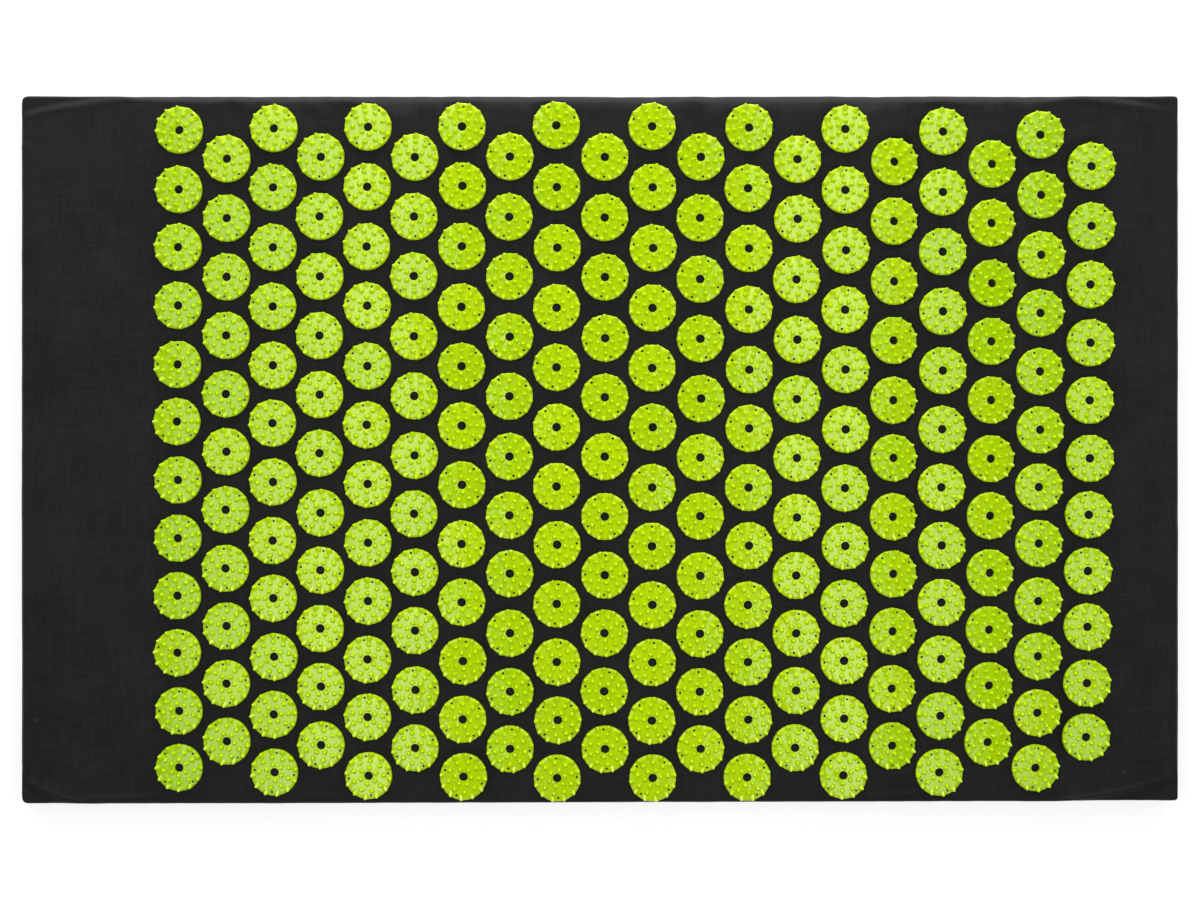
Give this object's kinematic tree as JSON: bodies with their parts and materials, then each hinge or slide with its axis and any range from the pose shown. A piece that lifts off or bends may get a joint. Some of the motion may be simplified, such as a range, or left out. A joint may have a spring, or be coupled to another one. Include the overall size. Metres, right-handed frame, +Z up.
{
  "type": "acupressure mat",
  "caption": "Rectangular acupressure mat: foam slab in a dark fabric cover, with a staggered field of lime spike discs on top and a closing flap underneath.",
  "frame": {"origin": "middle of the underside, on the surface that the mat lies on", "axes": "+X along the mat's length, from the end with the closure to the other end; +Y across its width; +Z up, out of the spikes"},
  "size_m": [0.66, 0.4026, 0.0275],
  "materials": {
    "cover_fabric": "matte plain-weave cotton",
    "core_foam": "open-cell polyurethane foam",
    "hook_tape": "moulded nylon hooks",
    "loop_tape": "brushed loop pile",
    "disc_plastic": "glossy moulded plastic"
  },
  "bodies": {
    "mat": {"foam_core": "core_foam", "cover_back_panel": "cover_fabric", "cover_top_panel": "cover_fabric", "closure_hook_tape": "hook_tape", "spike_disc_column_01": "disc_plastic", "spike_disc_column_02": "disc_plastic", "spike_disc_column_03": "disc_plastic", "spike_disc_column_04": "disc_plastic", "spike_disc_column_05": "disc_plastic", "spike_disc_column_06": "disc_plastic", "spike_disc_column_07": "disc_plastic", "spike_disc_column_08": "disc_plastic", "spike_disc_column_09": "disc_plastic", "spike_disc_column_10": "disc_plastic", "spike_disc_column_11": "disc_plastic", "spike_disc_column_12": "disc_plastic", "spike_disc_column_13": "disc_plastic", "spike_disc_column_14": "disc_plastic", "spike_disc_column_15": "disc_plastic", "spike_disc_column_16": "disc_plastic", "spike_disc_column_17": "disc_plastic", "spike_disc_column_18": "disc_plastic", "spike_disc_column_19": "disc_plastic", "spike_disc_column_20": "disc_plastic"},
    "flap": {"closure_flap": "cover_fabric", "closure_loop_tape": "loop_tape"}
  },
  "joints": [
    {"name": "flap_hinge", "type": "hinge", "parent": "mat", "child": "flap", "pos_m": [-0.3177, 0, 0], "axis": [0, 1, 0], "range_deg": [0, 150]}
  ]
}
